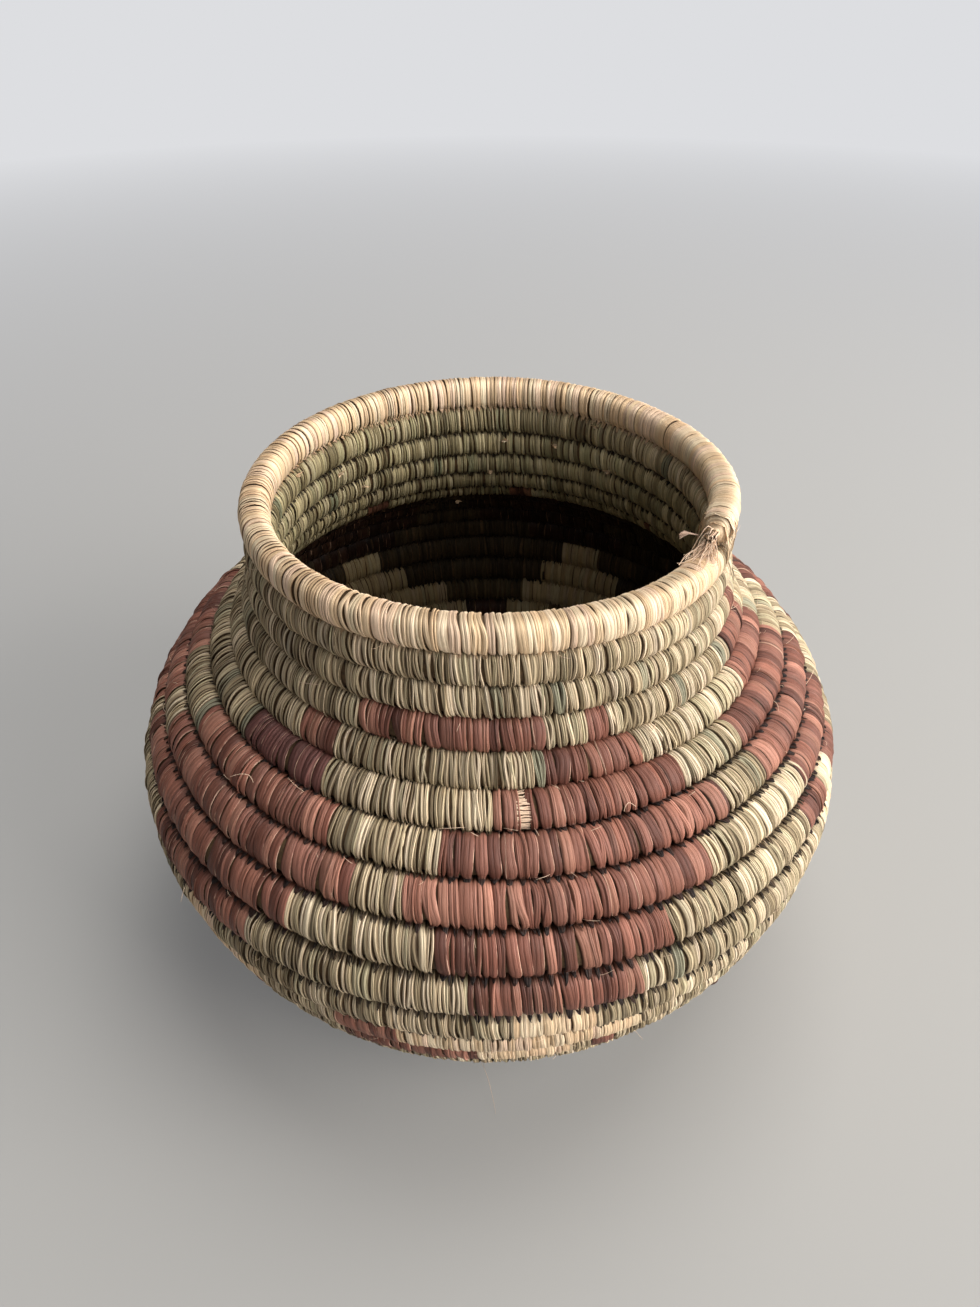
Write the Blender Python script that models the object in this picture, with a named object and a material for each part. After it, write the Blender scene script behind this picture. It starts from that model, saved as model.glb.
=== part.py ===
"""A coiled basket: one long bundle of grass stems, wound in a spiral from the
middle of the base up to the rim, and wrapped in palm leaf strips that are
stitched into the round below. Metres, +Z up, origin at the middle of the foot.

The bundle is one unbroken piece. Its wrap is one piece for each round, because
each round is wrapped and stitched down before the next one starts.
"""

import math

import bmesh
import bpy
import numpy as np

# Driving sizes of the body, all to the middle line of the coil
RIM_RADIUS = 0.0660
RIM_HEIGHT = 0.1633
BELLY_RADIUS = 0.1105
BELLY_HEIGHT = 0.0703
FOOT_RADIUS = 0.0700

# Outer diameter of the wrapped coil
RIM_COIL = 0.0088
BELLY_COIL = 0.0117
FOOT_COIL = 0.0100
START_COIL = 0.0046

# Fits between the pieces
ROUND_GAP = 0.0005
WRAP_THICKNESS = 0.0011
WRAP_CLEARANCE = 0.0003
SEAM_GAP = 0.0003

# The start: the bundle thins towards the knot in the middle of the foot
START_TAPER = 0.0240
KNOT_RADIUS = 0.0021
KNOT_BEVEL = 0.0008

# The tail, where the coil ends on the rim
TAIL_STUB = 0.0034
STITCH_WIDTH = 0.0024
STITCH_THICKNESS = 0.0006
STRIP_LENGTH = 0.0070
STRIP_WIDTHS = (0.0014, 0.0014, 0.0032)
STRIP_THICKNESS = 0.0007

# The shoulder, as shares of the way from the rim to the belly
SHOULDER_RADIUS_SHARE = 0.38
SHOULDER_HEIGHT_SHARE = 0.53
SHOULDER_SLOPE = math.radians(36)

# Handles of the three curves of the outline, as shares of each one's chord
NECK_HANDLE_SHARES = (0.16, 0.45)
SHOULDER_HANDLE_SHARES = (0.22, 0.38)
HAUNCH_HANDLE_SHARES = (0.25, 0.40)

# Where the coil thickens, as shares of the outline from rim to belly and belly to foot
THICKEN_SHARES = (0.22, 0.85)
THIN_SHARES = (-0.12, 0.45)

# The coil: its tail's azimuth, turned from the front towards the right, and its climb,
# which is steepest at that azimuth in each round, so that the rest of the rim looks level
TAIL_AZIMUTH = math.radians(60)
CLIMB_SHARES = (1.4, 0.8, 0.3)
STEPS_PER_ROUND = 24
SMALL_STEPS_PER_ROUND = 12
SMALL_ROUND_SHARE = 0.90
MERGE_ROUND_SHARE = 0.35
CURVE_POINTS = 400

# A coil's section, six corners as shares of its half thickness: along the wall, outwards
SECTION_SHARES = ((1, 0), (0.5, 1), (-0.5, 1), (-1, 0), (-0.5, -1), (0.5, -1))
STUB_END_SHARE = 0.45
STITCH_PLACE_SHARE = 0.006
STRIP_SHARES = (0, 0.6, 1)

# The zones of the body, by the last round of each, counted from the rim
ZONES = (
    (1, "rim"),
    (4, "neck"),
    (8, "shoulder"),
    (11, "belly"),
    (16, "haunch"),
    (18, "foot"),
    (99, "base"),
)

# The stepped pattern: motifs round the body, and each round's colour blocks.
# A block is its start and end as shares of one motif's width, from its middle.
MOTIF_AZIMUTHS = tuple(math.radians(a) for a in (-43, 11.5, 66, 116, 166, 216, 266))
MOTIF_WIDTH = 2 * math.pi / len(MOTIF_AZIMUTHS)
BLOCK_SHARES = {
    4: ("rust", -0.72, -0.10),
    5: ("rust", -0.08, 0.26),
    6: ("rust", -0.24, 0.42),
    7: ("rust", -0.38, 0.46),
    8: ("rust", -0.44, 0.40),
    9: ("rust", -0.38, 0.24),
    10: ("rust", -0.30, 0.14),
    11: ("straw", -0.18, 0.03),
    12: ("straw", -0.44, 0.20),
    13: ("straw", -0.30, 0.30),
    14: ("rust", -0.50, 0.10),
}

COLOURS = {
    "straw": (0.72, 0.60, 0.42),
    "olive": (0.33, 0.34, 0.20),
    "rust": (0.27, 0.09, 0.06),
    "grass": (0.47, 0.36, 0.20),
}
ROUGHNESS = 0.7
SHARP_ANGLE = math.radians(70)


def material(name):
    """A plain dried leaf colour; made once and shared."""
    found = bpy.data.materials.get(name)
    if found:
        return found
    made = bpy.data.materials.new(name)
    made.use_nodes = True
    shader = made.node_tree.nodes["Principled BSDF"]
    shader.inputs["Base Color"].default_value = (*COLOURS[name], 1)
    shader.inputs["Roughness"].default_value = ROUGHNESS
    shader.inputs["Metallic"].default_value = 0
    made.diffuse_color = (*COLOURS[name], 1)
    return made


def bezier(start, start_handle, end_handle, end):
    """Points of one cubic curve in the plane of radius and height."""
    t = np.linspace(0, 1, CURVE_POINTS)[:, None]
    return (
        (1 - t) ** 3 * start
        + 3 * t * (1 - t) ** 2 * start_handle
        + 3 * t**2 * (1 - t) * end_handle
        + t**3 * end
    )


def curve_between(start, start_way, end, end_way, handle_shares):
    """A cubic curve that leaves start along start_way and arrives along end_way."""
    chord = np.linalg.norm(end - start)
    first, last = handle_shares
    return bezier(start, start + first * chord * start_way, end - last * chord * end_way, end)


def eased(x, start, end):
    """0 before start, 1 after end, and a smooth rise between them."""
    x = np.clip((x - start) / (end - start), 0, 1)
    return x * x * (3 - 2 * x)


def outline():
    """The coil's middle line from the rim to the middle of the foot.

    Gives its radius and height at close steps, the length so far, the coil's outer
    diameter, and how far its middle sinks where it thins, so that it stays on the floor.
    """
    down = np.array((0.0, -1.0))
    inwards = np.array((-1.0, 0.0))
    out_and_down = np.array((math.cos(SHOULDER_SLOPE), -math.sin(SHOULDER_SLOPE)))
    rim = np.array((RIM_RADIUS, RIM_HEIGHT))
    belly = np.array((BELLY_RADIUS, BELLY_HEIGHT))
    shoulder = rim + (belly - rim) * (SHOULDER_RADIUS_SHARE, SHOULDER_HEIGHT_SHARE)
    foot = np.array((FOOT_RADIUS, FOOT_COIL / 2))
    middle = np.array((0.0, FOOT_COIL / 2))
    neck_curve = curve_between(rim, down, shoulder, out_and_down, NECK_HANDLE_SHARES)
    shoulder_curve = curve_between(shoulder, out_and_down, belly, down, SHOULDER_HANDLE_SHARES)
    haunch_curve = curve_between(belly, down, foot, inwards, HAUNCH_HANDLE_SHARES)
    foot_line = np.linspace(foot, middle, CURVE_POINTS)
    points = np.concatenate((neck_curve, shoulder_curve[1:], haunch_curve[1:], foot_line[1:]))
    lengths = np.concatenate(((0,), np.cumsum(np.linalg.norm(np.diff(points, axis=0), axis=1))))
    to_belly = lengths[2 * CURVE_POINTS - 2]
    to_foot = lengths[3 * CURVE_POINTS - 3]
    upper = eased(lengths / to_belly, *THICKEN_SHARES)
    lower = eased((lengths - to_belly) / (to_foot - to_belly), *THIN_SHARES)
    start = eased((lengths - lengths[-1] + START_TAPER) / START_TAPER, 0, 1)
    thinned = (FOOT_COIL - START_COIL) * start
    coil = RIM_COIL + (BELLY_COIL - RIM_COIL) * upper + (FOOT_COIL - BELLY_COIL) * lower
    return points, lengths, coil - thinned, thinned / 2


class Coil:
    """The spiral's middle line, read by turns: 0 at the tail on the rim, growing downwards."""

    def __init__(self):
        self.points, self.lengths, self.coil, self.sunk = outline()
        pitch = self.coil + ROUND_GAP
        slices = np.diff(self.lengths) / ((pitch[1:] + pitch[:-1]) / 2)
        self.turns_at = np.concatenate(((0,), np.cumsum(slices)))
        innermost = KNOT_RADIUS + SEAM_GAP + START_COIL / 2
        end_length = self.lengths[-1] - innermost
        self.last_turn = self.climbed_inverse(np.interp(end_length, self.lengths, self.turns_at))

    @staticmethod
    def climbed(turn):
        """How far down the coil has gone, in turns: even on the whole, uneven in each turn."""
        swings = [
            share * math.sin(2 * math.pi * i * turn) / (2 * math.pi * i)
            for i, share in enumerate(CLIMB_SHARES, 1)
        ]
        return turn + sum(swings)

    def climbed_inverse(self, climbed):
        low, high = climbed - 1, climbed + 1
        for _ in range(60):
            turn = (low + high) / 2
            if self.climbed(turn) < climbed:
                low = turn
            else:
                high = turn
        return turn

    def place(self, turn):
        """Radius and height, the way down the wall, and the half thickness."""
        climbed = self.climbed(turn)
        length = np.interp(max(climbed, 0), self.turns_at, self.lengths)
        step = self.lengths[-1] / len(self.lengths)
        ahead = self.at_length(length + step)
        behind = self.at_length(length - step)
        way = (ahead - behind) / np.linalg.norm(ahead - behind)
        half = np.interp(length, self.lengths, self.coil) / 2
        middle = self.at_length(length) + way * min(climbed, 0) * (2 * half + ROUND_GAP)
        middle[1] -= np.interp(length, self.lengths, self.sunk)
        return middle, way, half

    def at_length(self, length):
        radius = np.interp(length, self.lengths, self.points[:, 0])
        height = np.interp(length, self.lengths, self.points[:, 1])
        return np.array((radius, height))

    def ring(self, turn, inset=0.0, size_share=1.0):
        """The section's corners in space, inset all round by a length, none under the floor."""
        middle, way, half = self.place(turn)
        half = half * size_share - inset
        outwards = np.array((-way[1], way[0]))
        corners = []
        for along, out in SECTION_SHARES:
            radius, height = middle + half * (along * way + out * outwards)
            corners.append(self.in_space(turn, radius, max(height, 0)))
        return corners

    def ring_on_wrap(self, turn, inset=0.0):
        """The section between two neighbouring rings, on the straight line from one to the other."""
        before = math.floor(turn * STEPS_PER_ROUND) / STEPS_PER_ROUND
        share = (turn - before) * STEPS_PER_ROUND
        first = np.array(self.ring(before, inset))
        last = np.array(self.ring(before + 1 / STEPS_PER_ROUND, inset))
        return [tuple(corner) for corner in first + (last - first) * share]

    @staticmethod
    def in_space(turn, radius, height):
        azimuth = TAIL_AZIMUTH + 2 * math.pi * turn
        return (radius * math.sin(azimuth), -radius * math.cos(azimuth), height)

    def turn_of(self, length_along):
        """The part of a turn that a length along the rim takes."""
        return length_along / (2 * math.pi * RIM_RADIUS)


def add_rings(bm, rings):
    return [[bm.verts.new(corner) for corner in ring] for ring in rings]


def add_sides(bm, rings, inwards=False):
    """Four-sided faces between neighbouring rings."""
    for ring, following in zip(rings, rings[1:]):
        for i in range(len(ring)):
            j = (i + 1) % len(ring)
            corners = (ring[i], following[i], following[j], ring[j])
            bm.faces.new(corners if inwards else reversed(corners))


def add_annulus(bm, outer, inner, first):
    """The flat end of a sleeve."""
    for i in range(len(outer)):
        j = (i + 1) % len(outer)
        corners = (outer[i], outer[j], inner[j], inner[i])
        bm.faces.new(corners if first else reversed(corners))


def finish(bm, name, materials):
    mesh = bpy.data.meshes.new(name)
    bmesh.ops.recalc_face_normals(bm, faces=bm.faces)
    bm.to_mesh(mesh)
    bm.free()
    mesh.shade_smooth()
    mesh.set_sharp_from_angle(angle=SHARP_ANGLE)
    for each in materials:
        mesh.materials.append(material(each))
    made = bpy.data.objects.new(name, mesh)
    bpy.context.scene.collection.objects.link(made)
    return made


def tube(name, rings, colour):
    """A closed solid along rings of corners, with flat ends."""
    bm = bmesh.new()
    rings = add_rings(bm, rings)
    add_sides(bm, rings)
    bm.faces.new(rings[0])
    bm.faces.new(reversed(rings[-1]))
    return finish(bm, name, (colour,))


def ring_turns(coil, start, end):
    """Turns of the rings from start to end: both ends, and each even step between them."""
    small_radius = SMALL_ROUND_SHARE * FOOT_RADIUS
    turns = [start]
    for step in range(math.ceil(start * STEPS_PER_ROUND), math.floor(end * STEPS_PER_ROUND) + 1):
        turn = step / STEPS_PER_ROUND
        radius = coil.place(math.floor(turn))[0][0]
        is_small = radius < small_radius
        skipped = is_small and step % (STEPS_PER_ROUND // SMALL_STEPS_PER_ROUND)
        least_step = 1 / (4 * STEPS_PER_ROUND)
        if not skipped and turn - turns[-1] > least_step and end - turn > least_step:
            turns.append(turn)
    return turns + [end]


def round_ends(coil):
    """Start and end turns of each round; a short last one joins the round before it."""
    count = math.floor(coil.last_turn)
    ends = [(i, i + 1) for i in range(count)]
    left_over = coil.last_turn - count
    if left_over > MERGE_ROUND_SHARE:
        return ends + [(count, coil.last_turn)]
    return ends[:-1] + [(count - 1, coil.last_turn)]


def zone_of(number):
    return next(name for last, name in ZONES if number <= last)


def colour_at(number, azimuth):
    """The leaf's colour on a round, counted from the rim, at an azimuth."""
    if number == 1:
        return "straw"
    if number not in BLOCK_SHARES:
        return "olive"
    colour, start, end = BLOCK_SHARES[number]
    for middle in MOTIF_AZIMUTHS:
        away = (azimuth - middle + math.pi) % (2 * math.pi) - math.pi
        if start * MOTIF_WIDTH <= away < end * MOTIF_WIDTH:
            return colour
    return "olive"


def wrap_round(coil, number, start, end):
    """One round of the wrap: a sleeve round the foundation, with a seam at each end."""
    radius = coil.place((start + end) / 2)[0][0]
    half_seam = SEAM_GAP / (2 * 2 * math.pi * radius)
    first = start if number == 1 else start + half_seam
    last = end if end == coil.last_turn else end - half_seam
    turns = ring_turns(coil, first, last)
    bm = bmesh.new()
    outer = add_rings(bm, [coil.ring(turn) for turn in turns])
    inner = add_rings(bm, [coil.ring(turn, inset=WRAP_THICKNESS) for turn in turns])
    add_sides(bm, outer)
    add_sides(bm, inner, inwards=True)
    add_annulus(bm, outer[0], inner[0], first=True)
    add_annulus(bm, outer[-1], inner[-1], first=False)
    made = finish(bm, f"round_{number:02d}_{zone_of(number)}", ("olive", "rust", "straw"))
    names = [each.name for each in made.data.materials]
    for face in made.data.polygons:
        x, y, _ = face.center
        face.material_index = names.index(colour_at(number, math.atan2(x, -y)))
    return made


def foundation(coil):
    """The grass bundle: one unbroken tube through every round, tapered at the tail."""
    inset = WRAP_THICKNESS + WRAP_CLEARANCE
    stub = coil.turn_of(TAIL_STUB)
    rings = [coil.ring(-stub, inset, STUB_END_SHARE + inset / RIM_COIL)]
    rings += [coil.ring(turn, inset) for turn in ring_turns(coil, 0, coil.last_turn)]
    return tube("foundation", rings, "grass"), rings


def start_knot():
    """The button that the coil starts from, in the middle of the foot."""
    bm = bmesh.new()
    bmesh.ops.create_cone(
        bm,
        cap_ends=True,
        segments=SMALL_STEPS_PER_ROUND,
        radius1=KNOT_RADIUS,
        radius2=KNOT_RADIUS,
        depth=START_COIL,
    )
    bmesh.ops.translate(bm, verts=bm.verts, vec=(0, 0, START_COIL / 2))
    top = [edge for edge in bm.edges if all(v.co.z > START_COIL / 2 for v in edge.verts)]
    bmesh.ops.bevel(bm, geom=top, offset=KNOT_BEVEL, segments=2, affect="EDGES", profile=0.5)
    return finish(bm, "start_knot", ("olive",))


def last_stitch(coil):
    """The strip that ties the tail down, from the mouth's side over the rim to the outside."""
    bm = bmesh.new()
    inner, outer = [], []
    for turn in (STITCH_PLACE_SHARE, STITCH_PLACE_SHARE + coil.turn_of(STITCH_WIDTH)):
        inner.append(coil.ring_on_wrap(turn, -SEAM_GAP)[1:])
        outer.append(coil.ring_on_wrap(turn, -SEAM_GAP - STITCH_THICKNESS)[1:])
    rings = add_rings(bm, [low + high[::-1] for low, high in zip(inner, outer)])
    add_sides(bm, rings)
    for ring in rings:
        for i in range(len(ring) // 2 - 1):
            bm.faces.new((ring[i], ring[i + 1], ring[-i - 2], ring[-i - 1]))
    return finish(bm, "last_stitch", ("straw",))


def strip_end(coil):
    """The splayed end of the last strip, standing into the mouth from the coil's inner side."""
    turn = STITCH_PLACE_SHARE + 2 * coil.turn_of(STITCH_WIDTH)
    middle, _, half = coil.place(turn)
    start = (middle[0] - half) * math.cos(math.pi / STEPS_PER_ROUND) - SEAM_GAP
    low = middle[1]
    rings = []
    for share, width in zip(STRIP_SHARES, STRIP_WIDTHS):
        radius = start - share * STRIP_LENGTH
        half_turn = width / (4 * math.pi * radius)
        sides = (turn - half_turn, turn + half_turn)
        rings.append([
            coil.in_space(sides[0], radius, low),
            coil.in_space(sides[1], radius, low),
            coil.in_space(sides[1], radius, low + STRIP_THICKNESS),
            coil.in_space(sides[0], radius, low + STRIP_THICKNESS),
        ])
    return tube("strip_end", rings, "straw")


def least_gap(rings):
    """The least distance between corners of the tube that lie half a round or more apart."""
    corners = np.array(rings)
    least = math.inf
    for i in range(len(corners)):
        later = corners[i + SMALL_STEPS_PER_ROUND // 2:]
        if len(later):
            apart = np.linalg.norm(later[:, :, None] - corners[i][None, None], axis=3)
            least = min(least, apart.min())
    return least


def main():
    for each in list(bpy.data.objects):
        bpy.data.objects.remove(each)
    coil = Coil()
    _, rings = foundation(coil)
    wraps = []
    for i, (start, end) in enumerate(round_ends(coil)):
        wrap_round(coil, i + 1, start, end)
        wraps += [coil.ring(turn) for turn in ring_turns(coil, start, end)[:-1]]
    start_knot()
    last_stitch(coil)
    strip_end(coil)
    print(f"foundation, least gap to itself: {least_gap(rings) * 1000:.2f} mm")
    print(f"wrapped coil, least gap between rounds: {least_gap(wraps) * 1000:.2f} mm")
    print(f"rounds: {coil.last_turn:.2f}")


main()
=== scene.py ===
"""The coiled basket's looks: every leaf stitch of every round as its own folded strip."""
import math
from typing import NamedTuple

import bpy
import numpy as np
from mathutils import Matrix, Vector


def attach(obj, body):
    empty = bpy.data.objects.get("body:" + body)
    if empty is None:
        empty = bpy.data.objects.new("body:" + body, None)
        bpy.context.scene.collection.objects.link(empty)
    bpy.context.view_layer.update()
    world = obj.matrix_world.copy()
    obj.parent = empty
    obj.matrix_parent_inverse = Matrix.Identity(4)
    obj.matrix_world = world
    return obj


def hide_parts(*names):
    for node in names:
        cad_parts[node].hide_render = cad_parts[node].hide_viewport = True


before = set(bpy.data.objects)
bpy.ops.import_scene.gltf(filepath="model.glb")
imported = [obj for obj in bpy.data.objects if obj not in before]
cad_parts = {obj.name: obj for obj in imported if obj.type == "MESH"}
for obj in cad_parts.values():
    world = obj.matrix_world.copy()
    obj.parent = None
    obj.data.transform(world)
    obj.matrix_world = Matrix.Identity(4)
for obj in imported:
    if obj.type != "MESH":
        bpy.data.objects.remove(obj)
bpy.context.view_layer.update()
rng = np.random.default_rng(7)

# The coil, with part.py's names and sizes, in metres
RIM_RADIUS = 0.0660
RIM_HEIGHT = 0.1633
BELLY_RADIUS = 0.1105
BELLY_HEIGHT = 0.0703
FOOT_RADIUS = 0.0700
RIM_COIL = 0.0088
BELLY_COIL = 0.0117
FOOT_COIL = 0.0100
START_COIL = 0.0046
ROUND_GAP = 0.0005
SEAM_GAP = 0.0003
START_TAPER = 0.0240
KNOT_RADIUS = 0.0021
SHOULDER_RADIUS_SHARE = 0.38
SHOULDER_HEIGHT_SHARE = 0.53
SHOULDER_SLOPE = math.radians(36)
NECK_HANDLE_SHARES = (0.16, 0.45)
SHOULDER_HANDLE_SHARES = (0.22, 0.38)
HAUNCH_HANDLE_SHARES = (0.25, 0.40)
THICKEN_SHARES = (0.22, 0.85)
THIN_SHARES = (-0.12, 0.45)
TAIL_AZIMUTH = math.radians(60)
CLIMB_SHARES = (1.4, 0.8, 0.3)
CURVE_POINTS = 400

# The power of the coil's rounded section
SECTION_POWER = 2.3

# How the wrap narrows round the coil's open end
TAIL_LENGTH = 0.0052
TAIL_NARROWING = 0.80
TAIL_POWER = 1.7


def smooth(x, start, end):
    """0 up to start, 1 from end on, and an S-curve between them."""
    x = np.clip((x - start) / (end - start), 0, 1)
    return x * x * (3 - 2 * x)


def curve_between(start, start_way, end, end_way, handle_shares):
    """Points of a cubic curve whose handles are shares of its chord."""
    first, last = handle_shares
    t = np.linspace(0, 1, CURVE_POINTS)[:, None]
    chord = np.linalg.norm(end - start)
    a, b = start + first * chord * start_way, end - last * chord * end_way
    return (1 - t) ** 3 * start + 3 * t * (1 - t) ** 2 * a + 3 * t**2 * (1 - t) * b + t**3 * end


def outline():
    """The wall's middle line: points, lengths to them, the coil's thickness and how low it lies."""
    down, inwards = np.array((0.0, -1.0)), np.array((-1.0, 0.0))
    slope = np.array((math.cos(SHOULDER_SLOPE), -math.sin(SHOULDER_SLOPE)))
    rim = np.array((RIM_RADIUS, RIM_HEIGHT))
    belly = np.array((BELLY_RADIUS, BELLY_HEIGHT))
    shoulder = rim + (belly - rim) * (SHOULDER_RADIUS_SHARE, SHOULDER_HEIGHT_SHARE)
    foot = np.array((FOOT_RADIUS, FOOT_COIL / 2))
    points = np.concatenate((
        curve_between(rim, down, shoulder, slope, NECK_HANDLE_SHARES),
        curve_between(shoulder, slope, belly, down, SHOULDER_HANDLE_SHARES)[1:],
        curve_between(belly, down, foot, inwards, HAUNCH_HANDLE_SHARES)[1:],
        np.linspace(foot, (0, FOOT_COIL / 2), CURVE_POINTS)[1:],
    ))
    lengths = np.concatenate(((0,), np.cumsum(np.linalg.norm(np.diff(points, axis=0), axis=1))))
    to_belly, to_foot = lengths[2 * CURVE_POINTS - 2], lengths[3 * CURVE_POINTS - 3]
    upper = smooth(lengths / to_belly, *THICKEN_SHARES)
    lower = smooth((lengths - to_belly) / (to_foot - to_belly), *THIN_SHARES)
    start = smooth((lengths - lengths[-1] + START_TAPER) / START_TAPER, 0, 1)
    thinned = (FOOT_COIL - START_COIL) * start
    coil = RIM_COIL + (BELLY_COIL - RIM_COIL) * upper + (FOOT_COIL - BELLY_COIL) * lower - thinned
    return points, lengths, coil, thinned / 2


POINTS, LENGTHS, COIL, SUNK = outline()
PITCH = COIL + ROUND_GAP
TURNS = np.concatenate(((0,), np.cumsum(np.diff(LENGTHS) / ((PITCH[1:] + PITCH[:-1]) / 2))))


def climbed(turn):
    """The turns of the even spiral that a turn of the coil has gone down."""
    total = turn
    for i, share in enumerate(CLIMB_SHARES, 1):
        total = total + share * np.sin(2 * np.pi * i * turn) / (2 * np.pi * i)
    return total


def place(turn):
    """Radius, height, way down the wall and half thickness at each turn of an array."""
    down = climbed(turn)
    length = np.interp(np.maximum(down, 0), TURNS, LENGTHS)
    step = LENGTHS[-1] / len(LENGTHS)
    ahead = [np.interp(length + step, LENGTHS, POINTS[:, i]) for i in (0, 1)]
    behind = [np.interp(length - step, LENGTHS, POINTS[:, i]) for i in (0, 1)]
    wr, wz = ahead[0] - behind[0], ahead[1] - behind[1]
    size = np.hypot(wr, wz)
    wr, wz = wr / size, wz / size
    half = np.interp(length, LENGTHS, COIL) / 2
    over = np.minimum(down, 0) * (2 * half + ROUND_GAP)
    r = np.interp(length, LENGTHS, POINTS[:, 0]) + wr * over
    z = np.interp(length, LENGTHS, POINTS[:, 1]) + wz * over - np.interp(length, LENGTHS, SUNK)
    return r, z, wr, wz, half


def in_space(turn, along, out):
    """Points at each turn, moved down the wall and outwards from the coil's middle."""
    r, z, wr, wz, _ = place(turn)
    rr, zz = r + along * wr - out * wz, z + along * wz + out * wr
    azimuth = TAIL_AZIMUTH + 2 * np.pi * turn
    return np.stack((rr * np.sin(azimuth), -rr * np.cos(azimuth), zz), -1)


def on_section(turn, along, out):
    """A point by its place in half thicknesses along and out of the coil's section."""
    half = float(place(np.array([turn]))[4][0])
    return in_space(np.array([turn]), along * half, out * half)[0]


def local_frame(turn):
    """Unit ways along the coil, out of the wall and down the wall at a turn."""
    at, step = np.array([turn]), 0.001
    here = in_space(at, 0.0, 0.0)[0]
    out = in_space(at, 0.0, step)[0] - here
    down = in_space(at, step, 0.0)[0] - here
    out, down = out / np.linalg.norm(out), down / np.linalg.norm(down)
    return np.cross(down, out), out, down


def around(turn):
    """The coil's length in one turn, as far out as it is at a turn."""
    return 2 * math.pi * float(place(np.array([turn]))[0][0])


def section_depth(along):
    """How far out the section's surface is at a place along it, in half thicknesses."""
    return (1 - abs(along) ** SECTION_POWER) ** (1 / SECTION_POWER)


def rounded(cos, sin):
    """Points of the section, along and out, from the cosine and sine of their angle."""
    return [np.sign(v) * np.abs(v) ** (2 / SECTION_POWER) for v in (sin, cos)]


def narrowing(length, full=1.0):
    """The wrap's size at a length from the coil's open end, as a share of its full size."""
    return full - TAIL_NARROWING * (1 - smooth(length, 0, TAIL_LENGTH)) ** TAIL_POWER


def find_last_turn():
    """The turn at which the coil meets the knot, by halving."""
    innermost = LENGTHS[-1] - (KNOT_RADIUS + SEAM_GAP + START_COIL / 2)
    low, high = 20.0, 27.0
    for _ in range(60):
        mid = (low + high) / 2
        if np.interp(climbed(mid), TURNS, LENGTHS) < innermost:
            low = mid
        else:
            high = mid
    return (low + high) / 2


LAST_TURN = find_last_turn()
NODES = sorted(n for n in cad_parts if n.startswith("round_"))

# The blocks of each round in degrees from the front, towards the right; the rest is olive
BLOCKS = {
    4: {"rust": ((-27, 8), (17.5, 22), (66.5, 71.5))},
    5: {"rust": ((-39.5, -32.8), (9, 26), (58.5, 75))},
    6: {"maroon": ((-50.5, -32),),
        "rust": ((-0.5, 34), (48.7, 82), (127.5, 130.5), (167.5, 172), (210.3, 214.8))},
    7: {"rust": ((-62, -25.5), (-8, 39.5), (48.3, 82), (99, 127), (143, 185), (197, 238),
                 (254, 280))},
    8: {"rust": ((-68, -21.5), (-12.8, 31), (56.4, 86), (97, 129), (141, 185), (197, 241),
                 (249, 284))},
    9: {"rust": ((-76, -29), (-8, 23.6), (53.6, 80), (98, 127), (150, 182), (197, 229),
                 (251, 281))},
    10: {"straw": ((63, 67),),
         "rust": ((-60, -35.8), (-4, 18.6), (67, 76), (101, 121), (145.5, 168), (202.5, 225),
                  (255, 276))},
    11: {"straw": ((-51, -42.5), (2.4, 12.8), (60, 69), (107, 115), (153, 161), (207, 216),
                   (258, 266))},
    12: {"rust": ((-22.3, -13.4),),
         "straw": ((-68, -36), (-13.4, 20.5), (42, 76), (101, 120), (146, 165.5), (201, 221),
                   (253, 271))},
    13: {"rust": ((-74, -38), (-22, -2.9), (13, 17), (36, 70)),
         "straw": ((-2.9, 11), (96, 124), (140, 171), (191, 226), (247, 275))},
    14: {"rust": ((-66, -46), (42, 62), (128, 138), (175, 186), (231, 241)),
         "straw": ((120, 128), (138, 146), (164, 175), (186, 198), (223, 231), (241, 249))},
}


def colour_at(number, azimuth):
    """The leaf's colour on a round, counted from the rim, at an azimuth in degrees."""
    if number == 1:
        return "straw"
    for colour, blocks in BLOCKS.get(number, {}).items():
        if any((azimuth - start) % 360 < end - start for start, end in blocks):
            return colour
    return "olive"


def srgb(r, g, b):
    """A colour in linear light from its values on a screen."""
    return tuple(((c / 255 + 0.055) / 1.055) ** 2.4 if c > 10 else c / 255 / 12.92
                 for c in (r, g, b))


def nodes_of(name):
    """A new material, its node tree and its shader."""
    made = bpy.data.materials.new(name)
    made.use_nodes = True
    tree = made.node_tree
    return made, tree, tree.nodes["Principled BSDF"]


def add(tree, kind, inputs=(), **settings):
    """A new node, with a value or a link for each input that is given."""
    node = tree.nodes.new(kind)
    for key, value in settings.items():
        setattr(node, key, value)
    for key, value in dict(inputs).items():
        if isinstance(value, bpy.types.NodeSocket):
            tree.links.new(value, node.inputs[key])
        else:
            node.inputs[key].default_value = value
    return node


def math_node(tree, operation, a, b=None, c=None, clamp=False):
    values = {i: v for i, v in enumerate((a, b, c)) if v is not None}
    return add(tree, "ShaderNodeMath", values, operation=operation, use_clamp=clamp).outputs[0]


def product(tree, a, b, clamp=False):
    return math_node(tree, "MULTIPLY", a, b, clamp=clamp)


def scaled(tree, value, factor, offset, clamp=False):
    """A value times a factor, plus an offset."""
    return math_node(tree, "MULTIPLY_ADD", value, factor, offset, clamp)


def dimmed(tree, value, mask, amount, clamp=False):
    """A value less an amount of itself where a mask is 1."""
    return product(tree, value, scaled(tree, mask, -amount, 1.0, clamp))


def mix_colour(tree, factor, a, b, blend="MIX"):
    # a mix node keeps its factor at input 0 and its colours at 6 and 7
    return add(tree, "ShaderNodeMix", data_type="RGBA", blend_type=blend,
               inputs={0: factor, 6: a, 7: b}).outputs[2]


def attribute(tree, name, output="Fac"):
    return add(tree, "ShaderNodeAttribute", attribute_name=name,
               attribute_type="GEOMETRY").outputs[output]


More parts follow.
